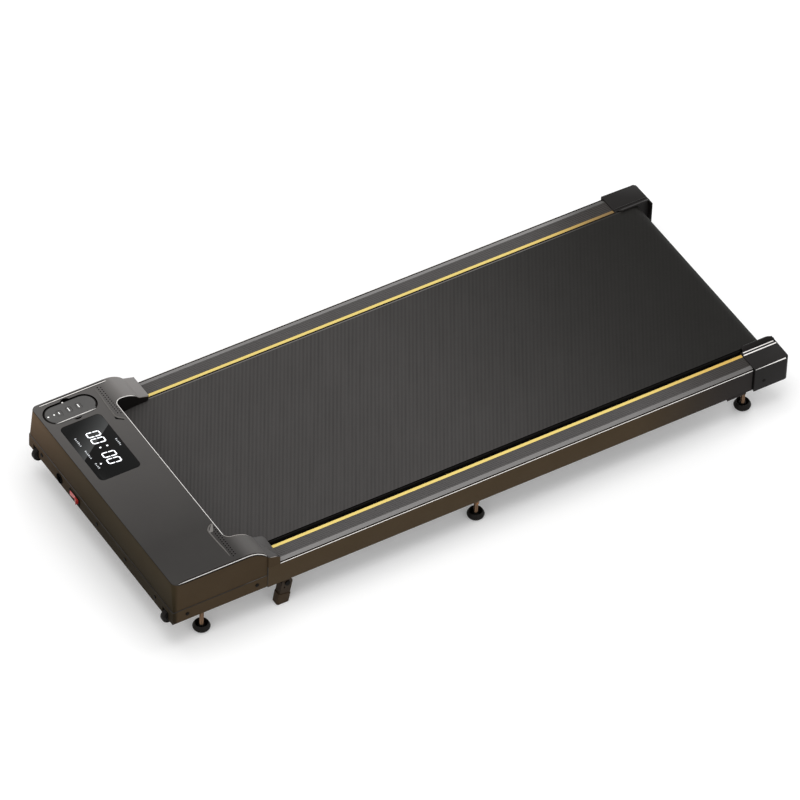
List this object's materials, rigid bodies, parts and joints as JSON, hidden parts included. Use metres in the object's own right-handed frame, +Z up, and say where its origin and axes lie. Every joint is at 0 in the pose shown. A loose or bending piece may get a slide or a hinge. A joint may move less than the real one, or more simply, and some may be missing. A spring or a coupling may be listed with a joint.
{
  "type": "walking pad treadmill",
  "caption": "Flat under-desk treadmill with a running belt between ribbed side rails, a low hood with a display and a lift-out remote, fold-out legs and levelling feet.",
  "frame": {"origin": "on the floor, under the middle of the box that encloses the pad", "axes": "+Y runs along the pad from the hood to the rear end caps, +Z is up, and +X is to the right of someone who stands in front of the hood and looks over it along the belt"},
  "size_m": [0.508, 1.249, 0.15],
  "materials": {
    "frame_paint": "satin powder coat",
    "cover_plastic": "fine texture",
    "rail_plastic": "satin, ribbed",
    "strip_yellow": "satin",
    "window_black": "polished",
    "board_green": "solder mask",
    "deck_wood": "waxed fibreboard",
    "belt_black": "woven-back PVC, fine emboss",
    "foot_rubber": "moulded",
    "zinc_steel": "zinc plated",
    "bearing_steel": "ground",
    "roller_steel": "turned",
    "pulley_iron": "turned",
    "motor_paint": "satin",
    "heat_sink_aluminium": "extruded",
    "switch_red": "satin",
    "fitting_black": "fine texture",
    "screw_black": "black oxide",
    "key_plastic": "satin"
  },
  "bodies": {
    "pad": {"side_frame_left": "frame_paint", "side_frame_right": "frame_paint", "cross_tubes": "frame_paint", "base_tray": "cover_plastic", "hood_cover": "cover_plastic", "remote_bay": "cover_plastic", "shoulder_left": "cover_plastic", "shoulder_right": "cover_plastic", "rail_cover_left": "rail_plastic", "rail_cover_right": "rail_plastic", "trim_strip_left": "strip_yellow", "trim_strip_right": "strip_yellow", "end_cap_left": "cover_plastic", "end_cap_right": "cover_plastic", "display_window": "window_black", "display_board": "board_green", "deck_board": "deck_wood", "deck_cushions": "foot_rubber", "running_belt": "belt_black", "roller_shafts": "zinc_steel", "roller_bearings": "bearing_steel", "tension_bolts": "zinc_steel", "motor_housing": "motor_paint", "motor_bracket": "zinc_steel", "drive_belt": "foot_rubber", "control_board": "board_green", "heat_sink": "heat_sink_aluminium", "power_inlet": "fitting_black", "switch_housing": "fitting_black", "pivot_bolts": "zinc_steel", "cover_screws": "screw_black"},
    "front_roller_assembly": {"front_roller": "roller_steel", "front_pulley": "pulley_iron"},
    "rear_roller_assembly": {"rear_roller": "roller_steel"},
    "motor_rotor": {"motor_shaft": "bearing_steel", "motor_flywheel": "pulley_iron"},
    "power_rocker": {"rocker_switch": "switch_red"},
    "remote": {"remote_body": "cover_plastic", "remote_back": "cover_plastic"},
    "mode_button": {"mode_key": "key_plastic"},
    "faster_button": {"faster_key": "key_plastic"},
    "slower_button": {"slower_key": "key_plastic"},
    "foot_front_left": {"foot_cup_front_left": "foot_rubber", "foot_stud_front_left": "zinc_steel"},
    "foot_front_right": {"foot_cup_front_right": "foot_rubber", "foot_stud_front_right": "zinc_steel"},
    "foot_mid_left": {"foot_cup_mid_left": "foot_rubber", "foot_stud_mid_left": "zinc_steel"},
    "foot_mid_right": {"foot_cup_mid_right": "foot_rubber", "foot_stud_mid_right": "zinc_steel"},
    "foot_rear_left": {"foot_cup_rear_left": "foot_rubber", "foot_stud_rear_left": "zinc_steel"},
    "foot_rear_right": {"foot_cup_rear_right": "foot_rubber", "foot_stud_rear_right": "zinc_steel"},
    "leg_assembly_left": {"leg_left": "frame_paint", "leg_cap_left": "foot_rubber"},
    "transport_wheel_left": {"wheel_left": "fitting_black"},
    "leg_assembly_right": {"leg_right": "frame_paint", "leg_cap_right": "foot_rubber"},
    "transport_wheel_right": {"wheel_right": "fitting_black"}
  },
  "joints": [
    {"name": "front_roller_spin", "type": "hinge", "parent": "pad", "child": "front_roller_assembly", "pos_m": [0, -0.4975, 0.0909], "axis": [1, 0, 0], "continuous": true},
    {"name": "rear_roller_spin", "type": "hinge", "parent": "pad", "child": "rear_roller_assembly", "pos_m": [0, 0.5815, 0.0909], "axis": [1, 0, 0], "continuous": true},
    {"name": "motor_spin", "type": "hinge", "parent": "pad", "child": "motor_rotor", "pos_m": [0.099, -0.5635, 0.1035], "axis": [1, 0, 0], "continuous": true},
    {"name": "power_rocker_tilt", "type": "hinge", "parent": "pad", "child": "power_rocker", "pos_m": [-0.088, -0.615, 0.071], "axis": [0, 0, 1], "range_deg": [0, 18]},
    {"name": "remote_lift", "type": "slide", "parent": "pad", "child": "remote", "axis": [0, 0, 1], "range_m": [0, 0.05]},
    {"name": "mode_press", "type": "slide", "parent": "remote", "child": "mode_button", "axis": [0, 0, -1], "range_m": [0, 0.0005], "stiffness_N_per_m": 300},
    {"name": "faster_press", "type": "slide", "parent": "remote", "child": "faster_button", "axis": [0, 0, -1], "range_m": [0, 0.0005], "stiffness_N_per_m": 300},
    {"name": "slower_press", "type": "slide", "parent": "remote", "child": "slower_button", "axis": [0, 0, -1], "range_m": [0, 0.0005], "stiffness_N_per_m": 300},
    {"name": "foot_front_left_height", "type": "slide", "parent": "pad", "child": "foot_front_left", "axis": [0, 0, 1], "range_m": [-0.012, 0]},
    {"name": "foot_front_right_height", "type": "slide", "parent": "pad", "child": "foot_front_right", "axis": [0, 0, 1], "range_m": [-0.012, 0]},
    {"name": "foot_mid_left_height", "type": "slide", "parent": "pad", "child": "foot_mid_left", "axis": [0, 0, 1], "range_m": [-0.012, 0]},
    {"name": "foot_mid_right_height", "type": "slide", "parent": "pad", "child": "foot_mid_right", "axis": [0, 0, 1], "range_m": [-0.012, 0]},
    {"name": "foot_rear_left_height", "type": "slide", "parent": "pad", "child": "foot_rear_left", "axis": [0, 0, 1], "range_m": [-0.012, 0]},
    {"name": "foot_rear_right_height", "type": "slide", "parent": "pad", "child": "foot_rear_right", "axis": [0, 0, 1], "range_m": [-0.012, 0]},
    {"name": "leg_left_fold", "type": "hinge", "parent": "pad", "child": "leg_assembly_left", "pos_m": [-0.239, -0.3899, 0.0465], "axis": [1, 0, 0], "range_deg": [0, 92]},
    {"name": "leg_right_fold", "type": "hinge", "parent": "pad", "child": "leg_assembly_right", "pos_m": [0.239, -0.3899, 0.0465], "axis": [1, 0, 0], "range_deg": [0, 92]},
    {"name": "transport_wheel_left_spin", "type": "hinge", "parent": "pad", "child": "transport_wheel_left", "pos_m": [-0.223, -0.6105, 0.058], "axis": [1, 0, 0], "continuous": true},
    {"name": "transport_wheel_right_spin", "type": "hinge", "parent": "pad", "child": "transport_wheel_right", "pos_m": [0.223, -0.6105, 0.058], "axis": [1, 0, 0], "continuous": true}
  ],
  "couplings": [
    {"joint": "rear_roller_spin", "follows": "front_roller_spin", "ratio": 1},
    {"joint": "motor_spin", "follows": "front_roller_spin", "ratio": 2.1667}
  ]
}
